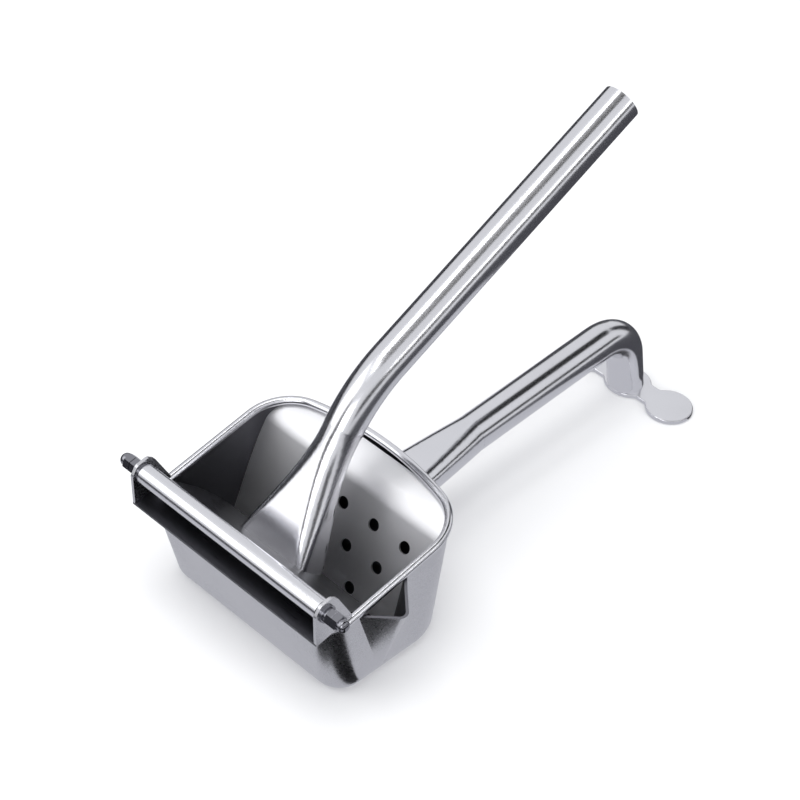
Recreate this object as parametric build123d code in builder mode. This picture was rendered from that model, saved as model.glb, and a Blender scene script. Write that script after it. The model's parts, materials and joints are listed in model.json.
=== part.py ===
# Hand press with a D-shaped bowl, a perforated strainer plate and a hinged press flap.
# Millimetres. X runs from the hinge towards the handle ends, Y across the bowl, Z up.
# The origin is the middle of the bowl's flat base on the table.
import math
import os

from build123d import *

os.makedirs("parts", exist_ok=True)

# ---- driving dimensions -------------------------------------------------------------
hinge_x = -52.7            # hinge axis, behind the bowl
hinge_z = 68.5
rim_tilt = 11.6            # the rim rises towards the front by this angle

wall = 1.0                 # bowl sheet
bead_radius = 2.0          # rolled rim

tube_radius = 9.5          # both handles
tube_wall = 1.2

sleeve_radius = 5.0
sleeve_half = 57.0
rod_radius = 2.0           # M4 rod
rod_clearance = 0.06

ear_inner = 58.2
ear_sheet = 1.6

tilt_cos = math.cos(math.radians(rim_tilt))
tilt_sin = math.sin(math.radians(rim_tilt))


def hinge_point(forward, up):
    """A point given from the hinge axis, along and square to the rim."""
    x = hinge_x + forward * tilt_cos - up * tilt_sin
    z = hinge_z + forward * tilt_sin + up * tilt_cos
    return (x, 0, z)


def rim_level(up):
    """A plane parallel to the rim, above the hinge axis by `up`."""
    return Plane(
        origin=hinge_point(0, up),
        x_dir=(tilt_cos, 0, tilt_sin),
        z_dir=(-tilt_sin, 0, tilt_cos),
    )


def d_outline(back, front, half, crown, back_corner, front_corner):
    """D-shaped outline: flat back, straight sides, softly crowned front."""
    with BuildSketch() as outline:
        with BuildLine():
            Line((back, -half), (front, -half))
            ThreePointArc((front, -half), (front + crown, 0), (front, half))
            Line((front, half), (back, half))
            Line((back, half), (back, -half))
        make_face()
        corners = outline.vertices().sort_by(Axis.X)
        fillet(corners[:2], back_corner)
        corners = outline.vertices().sort_by(Axis.X)
        fillet(corners[-2:], front_corner)
    return outline.sketch


def bowl_block(inset, floor, top):
    """Solid block that fills the bowl, pulled in from its outer skin by `inset`."""
    low = d_outline(-38 + inset, 31 - inset, 57.5 - inset, 9, 13 - inset, 27 - inset)
    high = d_outline(-2.5 + inset, 82.5 - inset, 60.2 - inset, 11, 13 - inset, 25 - inset)
    with BuildPart() as block:
        with BuildSketch(Plane.XY.offset(floor)):
            add(low)
        with BuildSketch(rim_level(top)):
            add(high)
        loft(ruled=True)
        base_edges = block.faces().sort_by(Axis.Z)[0].edges()
        fillet(base_edges, 7 - inset)
    return block.part


rim_height = -18.0                      # bead centre, from the hinge axis
wall_top = rim_height - bead_radius - 0.05

outer_block = bowl_block(0, 0, wall_top)
hollow_block = bowl_block(wall, wall, wall_top + 0.02)
fit_block = bowl_block(wall + 0.1, wall + 0.1, wall_top - 0.3)

# ---- bowl with its pouring spout ----------------------------------------------------
with BuildPart() as outer_bowl:
    add(outer_block)
    with BuildSketch(rim_level(wall_top)) as spout_top:
        with BuildLine():
            Polyline((10, -52), (30.5, -77.5), (42, -65), (55, -52), (10, -52))
        make_face()
        fillet(spout_top.vertices().sort_by(Axis.Y)[0], 3.5)
        fillet(spout_top.vertices().sort_by(Axis.X)[3], 12)
    with BuildSketch(Plane.XY.offset(6)) as spout_foot:
        with BuildLine():
            Polyline((-22, -50), (-13, -58.5), (-8, -55.5), (-2, -50), (-22, -50))
        make_face()
        fillet(spout_foot.vertices().sort_by(Axis.Y)[0], 1.0)
        fillet(spout_foot.vertices().sort_by(Axis.X)[3], 1.5)
    loft(ruled=True)
    add(hollow_block, mode=Mode.SUBTRACT)
    with BuildSketch(rim_level(wall_top + 0.02)) as throat_top:
        with BuildLine():
            Polyline((11.6, -52), (30.4, -75.6), (41, -64.1), (53.4, -52), (11.6, -52))
        make_face()
        fillet(throat_top.vertices().sort_by(Axis.Y)[0], 2.5)
        fillet(throat_top.vertices().sort_by(Axis.X)[3], 12)
    with BuildSketch(Plane.XY.offset(7.5)) as throat_foot:
        with BuildLine():
            Polyline((-20.5, -50), (-13, -57.1), (-8.7, -54.6), (-3.5, -50), (-20.5, -50))
        make_face()
        fillet(throat_foot.vertices().sort_by(Axis.Y)[0], 0.6)
        fillet(throat_foot.vertices().sort_by(Axis.X)[3], 1.5)
    loft(ruled=True, mode=Mode.SUBTRACT)
outer_bowl.part.label = "outer_bowl"

# ---- rolled rim, running unbroken over the spout ------------------------------------
rim_path = rim_level(rim_height) * d_outline(-2.0, 82.0, 59.7, 11, 12.5, 24.5).wire()
with BuildPart() as rim_bead:
    with BuildSketch(Plane(rim_path @ 0, z_dir=rim_path % 0)):
        Circle(bead_radius)
    sweep(path=rim_path)
rim_bead.part.label = "rim_bead"

# ---- perforated strainer plate, standing in front of the front wall -------------------
plate_slope = 66.6                      # from the table
plate_top = hinge_point(75.0, -20.0)
slope_cos = math.cos(math.radians(plate_slope))
slope_sin = math.sin(math.radians(plate_slope))
plate_plane = Plane(
    origin=plate_top,
    x_dir=(0, -1, 0),
    z_dir=(-slope_sin, 0, slope_cos),
)
plate_length = 57.5
plate_sheet = 1.0
hole_radius = 3.1
hole_pitch = 19.8
row_pitch = hole_pitch * math.sqrt(3) / 2
first_row = 18.6

plate_bend = 15.0                       # the sheet sweeps over into the front flange
flange_run = 15.2
lean = math.radians(plate_slope - rim_tilt)
side_view = Plane(origin=plate_top, x_dir=(tilt_cos, 0, tilt_sin), z_dir=(0, -1, 0))
low_end = (-plate_length * math.cos(lean), -plate_length * math.sin(lean))

with BuildPart() as strainer_plate:
    with BuildSketch(side_view):
        with BuildLine():
            FilletPolyline(low_end, (0, 0), (flange_run, 0), radius=plate_bend)
            offset(amount=plate_sheet, side=Side.RIGHT)
        make_face()
    extrude(amount=58, both=True)
    with BuildSketch(rim_level(-20.0 + 1)):
        with Locations((70, 0)):
            Rectangle(60, 116)
        fillet(vertices().sort_by(Axis.X)[-2:], 16)
    extrude(amount=-80, mode=Mode.INTERSECT)
    add(fit_block, mode=Mode.INTERSECT)
    with BuildSketch(plate_plane):
        with Locations(
            (-hole_pitch, -first_row), (0, -first_row),
            (hole_pitch, -first_row), (2 * hole_pitch, -first_row),
        ):
            Circle(hole_radius)
        with Locations(
            (-hole_pitch / 2, -first_row - row_pitch),
            (hole_pitch / 2, -first_row - row_pitch),
            (3 * hole_pitch / 2, -first_row - row_pitch),
        ):
            Circle(hole_radius)
        with Locations(
            (-hole_pitch, -first_row - 2 * row_pitch), (0, -first_row - 2 * row_pitch),
            (hole_pitch, -first_row - 2 * row_pitch),
        ):
            Circle(hole_radius)
    extrude(amount=-3, both=True, mode=Mode.SUBTRACT)
strainer_plate.part.label = "strainer_plate"

# ---- hinge bracket: a strip on the back rim with an ear at each end --------------------
bracket_low = rim_height + bead_radius + 0.05
ear_plane = Plane(origin=hinge_point(0, 0), x_dir=(tilt_cos, 0, tilt_sin), z_dir=(0, -1, 0))
ear_outer = ear_inner + ear_sheet
with BuildPart() as hinge_bracket:
    with BuildSketch(rim_level(bracket_low)):
        with Locations((-3.6, 0)):
            Rectangle(9.8, 2 * ear_outer)
    extrude(amount=ear_sheet)
    for side in (-1, 1):
        with BuildSketch(ear_plane.offset(side * (ear_inner + ear_sheet / 2))) as ear:
            with BuildLine():
                Polyline(
                    (-8.5, bracket_low), (-6.2, 2.5), (-2.5, 6.6), (4.0, 6.6),
                    (7.4, 3.0), (13.5, bracket_low + 1), (13.5, bracket_low), (-8.5, bracket_low),
                )
            make_face()
            fillet(ear.vertices().filter_by_position(Axis.Y, 0, 10), 2.6)
            Circle(rod_radius + 0.04, mode=Mode.SUBTRACT)
        extrude(amount=ear_sheet / 2, both=True)
hinge_bracket.part.label = "hinge_bracket"

# ---- hinge rod, sleeve and fasteners -------------------------------------------------
across = Plane(origin=hinge_point(0, 0), x_dir=(tilt_cos, 0, tilt_sin), z_dir=(0, 1, 0))

washer_sheet = 1.0
spring_sheet = 1.1
nut_height = 3.2
cap_height = 8.4
nut_flats = 7.0
gap = 0.02

with BuildPart() as pivot_rod:
    with BuildSketch(across):
        Circle(rod_radius)
    extrude(amount=ear_outer + washer_sheet + spring_sheet + nut_height + 5.0, both=True)
pivot_rod.part.label = "pivot_rod"

with BuildPart() as pivot_sleeve:
    with BuildSketch(across):
        Circle(sleeve_radius)
        Circle(rod_radius + rod_clearance, mode=Mode.SUBTRACT)
    extrude(amount=sleeve_half, both=True)
pivot_sleeve.part.label = "pivot_sleeve"

fasteners = {}
for name, side in (("left", 1), ("right", -1)):
    turned = Plane(origin=(hinge_x, 0, hinge_z), x_dir=(tilt_cos, 0, tilt_sin), z_dir=(0, side, 0))
    with BuildPart() as spacer:
        with BuildSketch(turned.offset(sleeve_half + 0.3)):
            Circle(4.4)
            Circle(rod_radius + 0.04, mode=Mode.SUBTRACT)
        extrude(amount=ear_inner - sleeve_half - 0.3 - gap)
    spacer.part.label = "spacer_ring_" + name
    start = ear_outer + gap
    with BuildPart() as washer:
        with BuildSketch(turned.offset(start)):
            Circle(4.5)
            Circle(rod_radius + 0.04, mode=Mode.SUBTRACT)
        extrude(amount=washer_sheet)
    washer.part.label = "washer_" + name
    start = start + washer_sheet + gap
    with BuildPart() as spring_washer:
        with BuildSketch(turned.offset(start)):
            Circle(3.6)
            Circle(rod_radius + 0.04, mode=Mode.SUBTRACT)
            with Locations((3, 0)):
                Rectangle(4, 0.7, mode=Mode.SUBTRACT)
        extrude(amount=spring_sheet)
    spring_washer.part.label = "spring_washer_" + name
    start = start + spring_sheet + gap
    with BuildPart() as hex_nut:
        with BuildSketch(turned.offset(start)):
            RegularPolygon(nut_flats / 2, 6, major_radius=False)
        extrude(amount=nut_height)
        chamfer(hex_nut.faces().sort_by(Axis.Y)[-1 if side > 0 else 0].edges(), 0.35)
        with BuildSketch(turned.offset(start)):
            Circle(rod_radius + 0.04)
        extrude(amount=nut_height, mode=Mode.SUBTRACT)
    hex_nut.part.label = "hex_nut_" + name
    start = start + nut_height + gap
    with BuildPart() as cap_nut:
        with BuildSketch(turned.offset(start)):
            RegularPolygon(nut_flats / 2, 6, major_radius=False)
        extrude(amount=3.4)
        with BuildSketch(turned.offset(start + 3.4)):
            Circle(3.1)
        extrude(amount=cap_height - 3.4 - 1.2)
        fillet(cap_nut.faces().sort_by(Axis.Y)[-1 if side > 0 else 0].edges(), 2.4)
        with BuildSketch(turned.offset(start)):
            Circle(rod_radius + 0.04)
        extrude(amount=5.4, mode=Mode.SUBTRACT)
    cap_nut.part.label = "cap_nut_" + name
    for piece in (spacer, washer, spring_washer, hex_nut, cap_nut):
        fasteners[piece.part.label] = piece.part

# ---- press flap, welded along the sleeve ---------------------------------------------
flap_angle = 53.3                       # below the rim's direction
flap_reach = 53.0
flap_half = 55.0
flap_sheet = 2.0
flap_dir = Vector(*hinge_point(math.cos(math.radians(flap_angle)), -math.sin(math.radians(flap_angle))))
flap_dir = flap_dir - Vector(*hinge_point(0, 0))
flap_plane = Plane(origin=hinge_point(0, 0), x_dir=flap_dir, z_dir=flap_dir.cross(Vector(0, 1, 0)))
with BuildPart() as press_flap:
    with BuildSketch(flap_plane) as flap_face:
        with Locations((flap_reach / 2, 0)):
            Rectangle(flap_reach, 2 * flap_half)
        fillet(flap_face.vertices().sort_by(Axis.X)[-2:], 16)
    extrude(amount=flap_sheet / 2, both=True)
    with BuildSketch(across):
        Circle(sleeve_radius + gap)
    extrude(amount=sleeve_half + 5, both=True, mode=Mode.SUBTRACT)
press_flap.part.label = "press_flap"
flap_top = flap_plane.offset(flap_sheet / 2 + gap)
if flap_top.origin.Z < flap_plane.origin.Z:
    flap_top = flap_plane.offset(-flap_sheet / 2 - gap)

# ---- upper handle: flared root butted square on the flap, bend, straight grip ---------
root_reach = 41.0
root_centre = flap_top.origin + flap_dir * root_reach
root_plane = Plane(origin=root_centre, x_dir=flap_dir, z_dir=flap_top.origin - flap_plane.origin)
bend_corner = Vector(*hinge_point(85.2, 26.2))
grip_end = Vector(*hinge_point(260.2, 74.9))
root_dir = (bend_corner - root_centre).normalized()
grip_dir = (grip_end - bend_corner).normalized()
turn = root_dir.get_angle(grip_dir)
bend_radius = 70.0
bend_run = bend_radius * math.tan(math.radians(turn) / 2)
bend_start = bend_corner - root_dir * bend_run
bend_stop = bend_corner + grip_dir * bend_run
neck = bend_start - root_dir * 1.5


def upper_solid(inset):
    """Handle body pulled in from its outer skin by `inset`."""
    overrun = 0.0 if inset == 0 else 1.0
    with BuildPart() as body:
        with BuildSketch(root_plane.offset(-overrun)):
            RectangleRounded(22 - 2 * inset, 41 - 2 * inset, 5.5 - inset)
        with BuildSketch(Plane(origin=root_centre + root_dir * 14, x_dir=flap_dir, z_dir=root_dir)):
            RectangleRounded(21 - 2 * inset, 34.5 - 2 * inset, 6.5 - inset)
        with BuildSketch(Plane(origin=root_centre + root_dir * 30, x_dir=flap_dir, z_dir=root_dir)):
            RectangleRounded(19.8 - 2 * inset, 27 - 2 * inset, 8.4 - inset)
        with BuildSketch(Plane(origin=neck, x_dir=flap_dir, z_dir=root_dir)):
            RectangleRounded(18.9 - 2 * inset, 18.9 - 2 * inset, 9.4 - inset)
        loft()
        with BuildLine() as spine:
            Line(neck, bend_start)
            TangentArc(bend_start, bend_stop, tangent=root_dir)
            Line(bend_stop, grip_end - grip_dir * inset)
        with BuildSketch(Plane(origin=neck, z_dir=root_dir)):
            Circle(tube_radius - inset)
        sweep(path=spine.wire())
    return body.part


with BuildPart() as upper_handle:
    add(upper_solid(0))
    add(upper_solid(tube_wall), mode=Mode.SUBTRACT)
upper_handle.part.label = "upper_handle"

# ---- lower handle: flattened root on the bowl's front, long tube, bend and leg --------
lower_neck = Vector(104, 0, 37.6)
leg_corner = Vector(215.8, 0, 44.8)
leg_foot = Vector(226.0, 0, 0)
foot_sheet = 2.0
lower_dir = (leg_corner - lower_neck).normalized()
leg_dir = (leg_foot - leg_corner).normalized()
leg_radius = 24.0
leg_run = leg_radius * math.tan(math.radians(lower_dir.get_angle(leg_dir)) / 2)
leg_start = leg_corner - lower_dir * leg_run
leg_stop = leg_corner + leg_dir * leg_run
wall_point = Vector(32, 0, 33.2)
root_run = (lower_neck - wall_point).normalized()


def lower_solid(inset):
    """Lower handle body pulled in from its outer skin by `inset`."""
    with BuildPart() as body:
        with BuildSketch(Plane(origin=wall_point, x_dir=(0, 1, 0), z_dir=root_run)):
            RectangleRounded(31 - 2 * inset, 13 - 2 * inset, 5.5 - inset)
        with BuildSketch(Plane(origin=wall_point + root_run * 36, x_dir=(0, 1, 0), z_dir=root_run)):
            RectangleRounded(26 - 2 * inset, 15.5 - 2 * inset, 7.2 - inset)
        with BuildSketch(Plane(origin=lower_neck, x_dir=(0, 1, 0), z_dir=root_run)):
            RectangleRounded(18.9 - 2 * inset, 18.9 - 2 * inset, 9.4 - inset)
        loft()
        with BuildLine() as spine:
            Line(lower_neck, leg_start)
            TangentArc(leg_start, leg_stop, tangent=lower_dir)
            Line(leg_stop, leg_foot + leg_dir * 6)
        with BuildSketch(Plane(origin=lower_neck, z_dir=lower_dir)):
            Circle(tube_radius - inset)
        sweep(path=spine.wire())
    return body.part


with BuildPart() as lower_handle:
    add(lower_solid(0))
    add(lower_solid(tube_wall), mode=Mode.SUBTRACT)
    add(outer_block, mode=Mode.SUBTRACT)
    with BuildSketch(Plane.XY.offset(foot_sheet + gap)):
        with Locations((226, 0)):
            Rectangle(80, 80)
    extrude(amount=-30, mode=Mode.SUBTRACT)
lower_handle.part.label = "lower_handle"

with BuildPart() as foot_plate:
    with BuildSketch() as foot_face:
        with Locations((228, -27.6), (228, 27.6)):
            Circle(12.3)
        with Locations((227.5, 0)):
            Rectangle(13, 50)
            Ellipse(11.5, 13)
        fillet(foot_face.vertices(), 3)
    extrude(amount=foot_sheet)
    fillet(foot_plate.faces().sort_by(Axis.Z)[-1].edges(), 0.5)
foot_plate.part.label = "foot_plate"

pieces = {
    "outer_bowl": outer_bowl.part,
    "rim_bead": rim_bead.part,
    "strainer_plate": strainer_plate.part,
    "hinge_bracket": hinge_bracket.part,
    "pivot_rod": pivot_rod.part,
    "pivot_sleeve": pivot_sleeve.part,
    "press_flap": press_flap.part,
    "upper_handle": upper_handle.part,
    "lower_handle": lower_handle.part,
    "foot_plate": foot_plate.part,
}
pieces.update(fasteners)
for name, solid in pieces.items():
    export_step(solid, "parts/" + name + ".step")
    print(name, round(solid.volume), len(solid.solids()), solid.is_valid)
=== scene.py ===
# %% [markdown]
# # Stainless hand press
# A hinged press of the kitchen: a D-shaped bowl with a spout, a strainer plate
# inside it, and a flap on a long tube that swings down into the bowl.
# The measured model is loaded first. It holds every size and every joint, so
# the rest of this file only adds surface, light and a camera.

# %% load the measured model
import json
import math

import bmesh
import bpy
from mathutils import Matrix, Vector

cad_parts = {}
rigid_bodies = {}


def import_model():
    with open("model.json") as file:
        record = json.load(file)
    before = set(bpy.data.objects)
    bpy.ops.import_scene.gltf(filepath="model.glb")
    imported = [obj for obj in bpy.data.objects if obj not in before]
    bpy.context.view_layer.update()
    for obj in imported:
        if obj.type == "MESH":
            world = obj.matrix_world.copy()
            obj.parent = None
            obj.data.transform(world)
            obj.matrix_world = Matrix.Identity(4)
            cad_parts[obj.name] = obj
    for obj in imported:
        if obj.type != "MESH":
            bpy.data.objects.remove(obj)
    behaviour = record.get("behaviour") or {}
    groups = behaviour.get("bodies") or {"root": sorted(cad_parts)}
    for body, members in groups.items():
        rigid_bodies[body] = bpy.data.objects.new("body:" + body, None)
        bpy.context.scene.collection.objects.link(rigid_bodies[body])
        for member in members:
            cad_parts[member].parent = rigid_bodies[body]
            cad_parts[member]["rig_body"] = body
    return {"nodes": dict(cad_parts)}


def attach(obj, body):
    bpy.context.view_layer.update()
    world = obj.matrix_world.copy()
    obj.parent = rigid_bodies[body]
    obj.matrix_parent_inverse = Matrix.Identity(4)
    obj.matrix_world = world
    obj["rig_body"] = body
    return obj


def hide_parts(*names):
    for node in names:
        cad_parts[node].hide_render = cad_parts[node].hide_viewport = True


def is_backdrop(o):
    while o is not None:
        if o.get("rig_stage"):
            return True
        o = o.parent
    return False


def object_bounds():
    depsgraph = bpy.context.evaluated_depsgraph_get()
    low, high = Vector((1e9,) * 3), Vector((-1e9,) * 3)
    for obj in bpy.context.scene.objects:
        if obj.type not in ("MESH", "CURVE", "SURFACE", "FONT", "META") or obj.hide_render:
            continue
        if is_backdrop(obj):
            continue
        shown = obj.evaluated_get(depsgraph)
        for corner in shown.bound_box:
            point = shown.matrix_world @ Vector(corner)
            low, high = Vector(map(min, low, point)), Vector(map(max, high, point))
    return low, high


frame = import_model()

cad_low, cad_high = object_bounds()
print("overall mm", [round((b - a) * 1000, 1) for a, b in zip(cad_low, cad_high)])

# %% [markdown]
# ## Colours and nodes
# Colours are picked as sRGB hex, as a paint chart gives them, and the shader
# wants linear light. One function makes the change for all of them.
# One more function adds a node, sets it and links it, so that each material
# below reads as a short list of what the surface does.

# %% two helpers
def linear(hex_colour):
    """sRGB hex such as "c8c8cc" to linear red, green, blue, alpha."""
    values = [int(hex_colour[i:i + 2], 16) / 255 for i in (0, 2, 4)]
    return [v / 12.92 if v <= 0.04045 else ((v + 0.055) / 1.055) ** 2.4 for v in values] + [1.0]


def node(tree, kind, settings=None, inputs=None, links=None):
    """Adds one node. `links` maps an input name to the socket that feeds it."""
    made = tree.nodes.new(kind)
    for key, value in (settings or {}).items():
        setattr(made, key, value)
    for key, value in (inputs or {}).items():
        made.inputs[key].default_value = value
    for key, value in (links or {}).items():
        tree.links.new(value, made.inputs[key])
    return made


print("mid grey in linear light", round(linear("808080")[0], 3))

# %% [markdown]
# ## Stainless steel
# Everything on this press is 18/8 stainless (grade 304). What changes from
# piece to piece is how it was finished. The tubes were polished on a wheel, so
# they mirror the room with only a faint haze. The bowl was deep drawn and
# buffed, which leaves fine scratches that spread each reflection a little.
# All of it is the same metal, a slightly cool grey. Polish, haze and a very low
# bump tell the pieces apart, so one recipe serves with different values. The
# dark tints on the bowl's inside, the flap and the bracket strip are painted
# shade, and the near-white tint on the strainer plate is painted light.

# %% a recipe for finished stainless
cloud_mm = 45.0            # size of the uneven patches in the polish
scratch_depth = 0.00002    # metres, deepest buffing line
ripple_depth = 0.0002      # metres, highest wave in the sheet


def stainless(name, tint, rough, rough_spread, grit_mm, stretch, scratch, ripple_mm, ripple):
    """Stainless steel: grit_mm is the spacing of the buffing lines, ripple_mm of the waves."""
    material = bpy.data.materials.new(name)
    material.use_nodes = True
    tree = material.node_tree
    shader = tree.nodes["Principled BSDF"]
    shader.inputs["Metallic"].default_value = 1.0
    place = node(tree, "ShaderNodeTexCoord")
    # Buffing lines: noise squeezed hard across one direction.
    along = node(tree, "ShaderNodeMapping", inputs={"Scale": stretch},
                 links={"Vector": place.outputs["Object"]})
    lines = node(tree, "ShaderNodeTexNoise",
                 inputs={"Scale": 1000 / grit_mm, "Detail": 3.0, "Roughness": 0.6},
                 links={"Vector": along.outputs["Vector"]})
    # Broad clouds: where hands and the wheel left the polish uneven.
    clouds = node(tree, "ShaderNodeTexNoise", inputs={"Scale": 1000 / cloud_mm, "Detail": 4.0},
                  links={"Vector": place.outputs["Object"]})
    mixed = node(tree, "ShaderNodeMath", {"operation": "MULTIPLY"},
                 links={0: lines.outputs["Fac"], 1: clouds.outputs["Fac"]})
    haze = node(tree, "ShaderNodeMapRange",
                inputs={"From Min": 0.1, "From Max": 0.45, "To Min": rough, "To Max": rough + rough_spread},
                links={"Value": mixed.outputs[0]})
    tree.links.new(haze.outputs["Result"], shader.inputs["Roughness"])
    tone = node(tree, "ShaderNodeMix", {"data_type": "RGBA"}, links={0: clouds.outputs["Fac"]})
    tone.inputs[6].default_value = linear(tint[0])
    tone.inputs[7].default_value = linear(tint[1])
    tree.links.new(tone.outputs[2], shader.inputs["Base Color"])
    # Fine scratches catch the light, and sheet never rolls out quite flat.
    fine = node(tree, "ShaderNodeBump", inputs={"Strength": scratch, "Distance": scratch_depth},
                links={"Height": lines.outputs["Fac"]})
    waves = node(tree, "ShaderNodeTexNoise", inputs={"Scale": 1000 / ripple_mm, "Detail": 1.0},
                 links={"Vector": place.outputs["Object"]})
    sheet = node(tree, "ShaderNodeBump", inputs={"Strength": ripple, "Distance": ripple_depth},
                 links={"Height": waves.outputs["Fac"], "Normal": fine.outputs["Normal"]})
    tree.links.new(sheet.outputs["Normal"], shader.inputs["Normal"])
    return material


print("polish clouds are", cloud_mm, "mm across")

# %% the finishes
# Wheel-polished tube: lines lie along X, as the handles do. Real ones are finer
# than can show, so they are drawn 1.2 mm apart.
polished_tube = stainless("polished 304 stainless tube", ("e8e8ec", "dadade"), 0.17, 0.06,
                          1.2, (0.10, 1, 1), 0.006, 22, 0.008)
# Buffed deep-drawn sheet: softer, with lines that run round the bowl.
buffed_bowl = stainless("buffed deep-drawn 304 stainless", ("d6d6d9", "c6c6ca"), 0.20, 0.14,
                        0.5, (0.4, 0.4, 1.6), 0.02, 30, 0.010)
# Strainer plate: dull rolled sheet, as it came from the punch. Its near-white tint is painted light.
plate_painted_light = stainless("rolled 304 stainless plate with painted light", ("f0f0f1", "e2e2e5"), 0.44, 0.08,
                         0.5, (1, 0.2, 1), 0.2, 40, 0.05)
# Inside of the bowl: duller steel, and its dark tint is painted shade for the hollow.
inside_painted_shade = stainless("bowl inside with painted shade", ("77777c", "5c5c62"), 0.30, 0.15,
                         0.6, (0.3, 1, 1), 0.25, 30, 0.08)
# Flap and bracket strip: brushed, with lines along the hinge. Their dark tint is painted shade.
strip_painted_shade = stainless("brushed 304 stainless strip with painted shade", ("5c5c61", "3c3c40"), 0.26, 0.16,
                          0.7, (1, 0.03, 1), 0.8, 30, 0.05)
# Small turned parts: bright, with turning marks round them.
turned_fastener = stainless("turned A2 stainless", ("9a9aa0", "808086"), 0.10, 0.08,
                            0.3, (1, 3, 1), 0.25, 8, 0.05)
print("finishes", [m.name for m in bpy.data.materials if m.use_nodes])

# %% which piece has which finish
finish_of = {name: turned_fastener for name in frame["nodes"]}
for name in ("upper_handle", "lower_handle", "rim_bead", "pivot_sleeve", "foot_plate"):
    finish_of[name] = polished_tube
for name in ("outer_bowl", "hinge_bracket"):
    finish_of[name] = buffed_bowl
# The flap's dark steel is painted shade; the strainer plate's near-white steel is painted light.
finish_of["press_flap"] = strip_painted_shade
finish_of["strainer_plate"] = plate_painted_light
for name, obj in frame["nodes"].items():
    obj.data.materials.clear()
    obj.data.materials.append(finish_of[name])
print("triangles", sum(len(o.data.polygons) for o in frame["nodes"].values()))

# %% [markdown]
# ## Smooth skins
# The measured model comes as loose triangles. A mirror finish shows each of
# them as a facet, so every visible piece gets a skin: a copy with its doubled
# corners merged and its faces shaded smooth, except where they meet at an edge.

# %% make the skins
def skin(name, sharp_degrees=32):
    """A merged, smooth-shaded copy of one measured piece, riding on its body."""
    source = frame["nodes"][name]
    mesh = source.data.copy()
    shell = bmesh.new()
    shell.from_mesh(mesh)
    bmesh.ops.remove_doubles(shell, verts=shell.verts, dist=1e-6)
    for face in shell.faces:
        face.smooth = True
    for edge in shell.edges:
        if len(edge.link_faces) == 2:
            edge.smooth = edge.calc_face_angle(0) < math.radians(sharp_degrees)
    shell.to_mesh(mesh)
    shell.free()
    mesh.name = name + "_skin"
    piece = bpy.data.objects.new(name + "_skin", mesh)
    bpy.context.scene.collection.objects.link(piece)
    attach(piece, source["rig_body"])
    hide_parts(name)
    return piece


skins = {name: skin(name) for name in list(frame["nodes"])}
print("skins", len(skins))

# %% [markdown]
# ## Painted shade on two pieces
# The bowl is one sheet with two looks. Each face is asked which way it points,
# and the ones that look inwards take the duller, darker steel: painted shade for
# the hollow. The bracket gets the same treatment: its ears keep the buffed steel
# and the strip between them takes the dark strip steel, painted shade under the sleeve.

# %% painted shade on two pieces
def refinish(piece, material, picked):
    """Gives `material` to the faces for which picked(centre, normal) is true."""
    piece.data.materials.append(material)
    count = 0
    for face in piece.data.polygons:
        if picked(face.center, face.normal):
            face.material_index = len(piece.data.materials) - 1
            count += 1
    print(piece.name, "faces in", material.name, count)


half_sheet = 0.0006        # metres, above the outside of the bowl's base
ear_start = 0.0580         # metres, from the middle to an ear's inner face


def looks_inwards(centre, normal):
    """True where the bowl's sheet faces the middle of the bowl; these faces take painted shade."""
    if normal.z > 0.8:
        return centre.z > half_sheet
    return centre.x * normal.x + centre.y * normal.y < 0


def between_ears(centre, normal):
    """True on the bracket's strip, which takes painted shade."""
    return abs(centre.y) < ear_start


# Inward faces of the bowl and the bracket's strip get dark steel as painted shade.
refinish(skins["outer_bowl"], inside_painted_shade, looks_inwards)
refinish(skins["hinge_bracket"], strip_painted_shade, between_ears)

# %% [markdown]
# ## Studio
# Polished steel shows what stands round it, and nothing else. In plain white
# surroundings it turns white and loses its shape, so a studio adds black cards:
# each one draws a dark stripe. Here the camera sees only a pale table. The
# cards are hidden from it and cast no shadow, so that only reflections find
# them. The steel also sees its own table: light near the bowl, grey further off.

# %% a card
def board(name, size, place, aim, colour, spin=0):
    """A flat matt card that faces `aim`, spun by `spin` degrees in its own plane."""
    mesh = bpy.data.meshes.new(name)
    card = bmesh.new()
    bmesh.ops.create_grid(card, x_segments=1, y_segments=1, size=0.5)
    bmesh.ops.scale(card, vec=(size[0], size[1], 1), verts=card.verts)
    bmesh.ops.rotate(card, matrix=Matrix.Rotation(math.radians(spin), 3, "Z"), verts=card.verts)
    direction = (Vector(aim) - Vector(place)).normalized()
    turn = direction.to_track_quat("Z", "Y").to_matrix().to_4x4()
    bmesh.ops.transform(card, matrix=Matrix.Translation(place) @ turn, verts=card.verts)
    card.to_mesh(mesh)
    card.free()
    piece = bpy.data.objects.new(name, mesh)
    bpy.context.scene.collection.objects.link(piece)
    material = bpy.data.materials.new(name)
    material.use_nodes = True
    shader = material.node_tree.nodes["Principled BSDF"]
    shader.inputs["Base Color"].default_value = linear(colour)
    shader.inputs["Roughness"].default_value = 0.9
    shader.inputs["Specular IOR Level"].default_value = 0.1
    mesh.materials.append(material)
    piece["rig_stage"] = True
    return piece


def only_in_reflections(card):
    """Hides a card from the camera, from soft light and from shadows."""
    card.visible_camera = False
    card.visible_diffuse = False
    card.visible_shadow = False


print("cards are matt, so they add no glare of their own")

# %% the table
table = board("pale table", (6, 6), (0, 0, -0.0005), (0, 0, 1), "f6f6f6")
table.visible_glossy = False
only_in_reflections(board("grey table seen by the steel", (6, 6), (0, 0, -0.0010), (0, 0, 1), "58585d"))
only_in_reflections(board("light table patch by the bowl", (0.42, 0.36), (0.02, 0, -0.0008),
                          (0.02, 0, 1), "e6e6ea"))
print("table", [round(side, 2) for side in table.dimensions])

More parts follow.
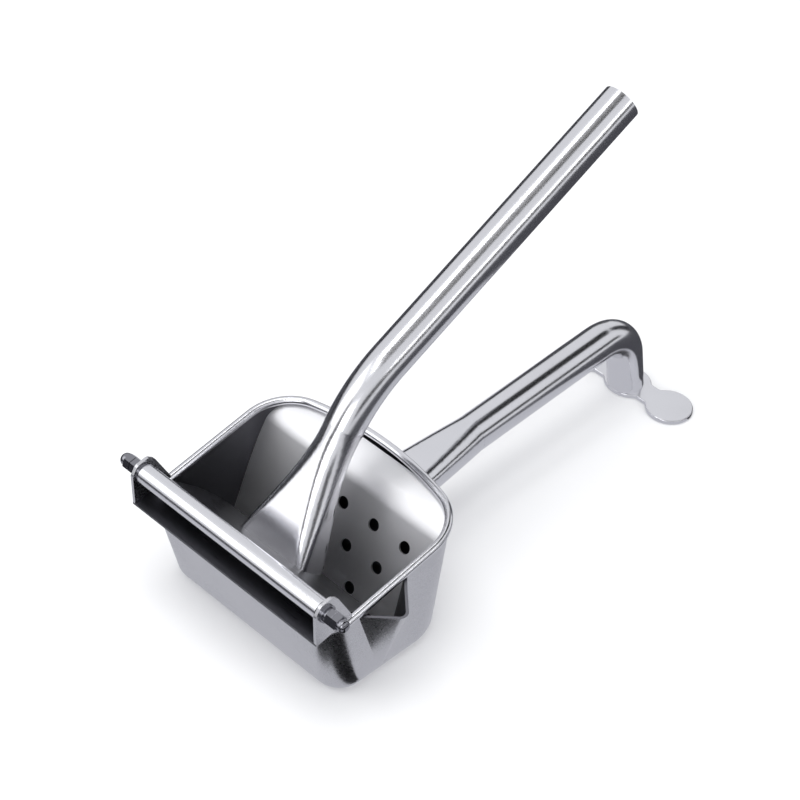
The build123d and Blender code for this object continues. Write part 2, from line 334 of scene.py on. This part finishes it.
# %% dark cards round the press
# Low walls on four sides draw the dark lines near a tube's edges. The strip
# overhead draws the one down its middle.
dark_cards = [
    board("dark wall far side", (3.0, 0.35), (0.5, 1.3, 0.20), (0.5, 0, 0.2), "26262a"),
    board("dark wall near side", (3.0, 0.34), (0.7, -1.25, 0.52), (0.7, 0, 0.2), "060607"),
    board("dark wall hinge side", (0.40, 1.8), (-1.35, 0.1, 0.30), (0, 0.1, 0.3), "101012"),
    board("dark wall handle side", (0.5, 1.8), (1.7, 0, 0.30), (0, 0, 0.3), "26262a"),
    board("dark strip overhead", (1.9, 0.66), (0.50, -0.16, 1.25), (0.50, -0.16, 0), "0a0a0c"),
]
for card in dark_cards:
    only_in_reflections(card)
print("dark cards", len(dark_cards))

# %% cards on the table
# An upright wall reflects the table just in front of it. Two narrow cards that
# point away from the bowl's corner darken it there.
corner = Vector((-0.045, -0.055, 0.0002))
card_near = 0.004          # metres from the corner to the card's near end
card_far = 0.5


def corner_card(name, bearing, width):
    """A dark card lying on the table, pointing away from the bowl's right back corner."""
    angle = math.radians(bearing)
    spot = corner + (card_near + card_far) / 2 * Vector((math.cos(angle), math.sin(angle), 0))
    overhead = (spot.x, spot.y, 1)
    only_in_reflections(board(name, (card_far - card_near, width), spot, overhead, "101012", bearing))


corner_card("floor card left of corner", 196, 0.034)
corner_card("floor card right of corner", 268, 0.044)
print("corner cards start", card_near * 1000, "mm from the bowl")

# %% lights
def soft_light(name, place, aim, size, power):
    """A rectangular area light: sizes in metres, power in watts."""
    lamp = bpy.data.lights.new(name, "AREA")
    lamp.shape = "RECTANGLE"
    lamp.size, lamp.size_y = size
    lamp.energy = power
    piece = bpy.data.objects.new(name, lamp)
    bpy.context.scene.collection.objects.link(piece)
    turn = (Vector(aim) - Vector(place)).to_track_quat("-Z", "Y").to_matrix().to_4x4()
    piece.matrix_world = Matrix.Translation(place) @ turn


soft_light("top softbox", (-0.2, 0.1, 1.6), (0, 0, 0), (0.9, 0.9), 9)
soft_light("hinge side softbox", (-1.3, -0.5, 0.7), (0, 0, 0.05), (0.7, 0.5), 3.5)
soft_light("near softbox", (0.3, -1.5, 0.7), (0.05, 0, 0.05), (0.8, 0.5), 3.5)
soft_light("softbox for the strainer plate", (-0.45, 0.30, 0.45), (0.01, 0, 0.03), (0.5, 0.5), 0.8)

world = bpy.data.worlds.new("studio air")
bpy.context.scene.world = world
world.use_nodes = True
world.node_tree.nodes["Background"].inputs["Color"].default_value = linear("f4f5f8")
world.node_tree.nodes["Background"].inputs["Strength"].default_value = 0.90
bpy.context.scene.view_settings.view_transform = "Standard"
print("lights", len(bpy.data.lights))

# %% [markdown]
# ## Camera
# The view is from behind the hinge and above it, along the handles. A long lens
# from over a metre away keeps the tubes' sides almost parallel.

# %% camera
eye = (-0.6014, -0.5752, 0.8477)
bearing = 41.408           # degrees from +X, the way the camera looks
looking_down = 41.054      # degrees below level
roll = 4.788               # degrees about the line of sight
camera_data = bpy.data.cameras.new("camera")
camera_data.sensor_width = 36
camera_data.lens = 113.75
camera_data.clip_start = 0.05
camera = bpy.data.objects.new("camera", camera_data)
bpy.context.scene.collection.objects.link(camera)
heading = Matrix.Rotation(math.radians(bearing - 90), 4, "Z")
pitch = Matrix.Rotation(math.radians(90 - looking_down), 4, "X")
tip = Matrix.Rotation(math.radians(roll), 4, "Z")
camera.matrix_world = Matrix.Translation(eye) @ heading @ pitch @ tip
bpy.context.scene.camera = camera
print("lens mm", round(camera_data.lens, 2))

# %% sizes
low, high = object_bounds()
pairs = zip(list(low) + list(high), list(cad_low) + list(cad_high))
print("visual minus measured, mm", [round((seen - measured) * 1000, 2) for seen, measured in pairs])
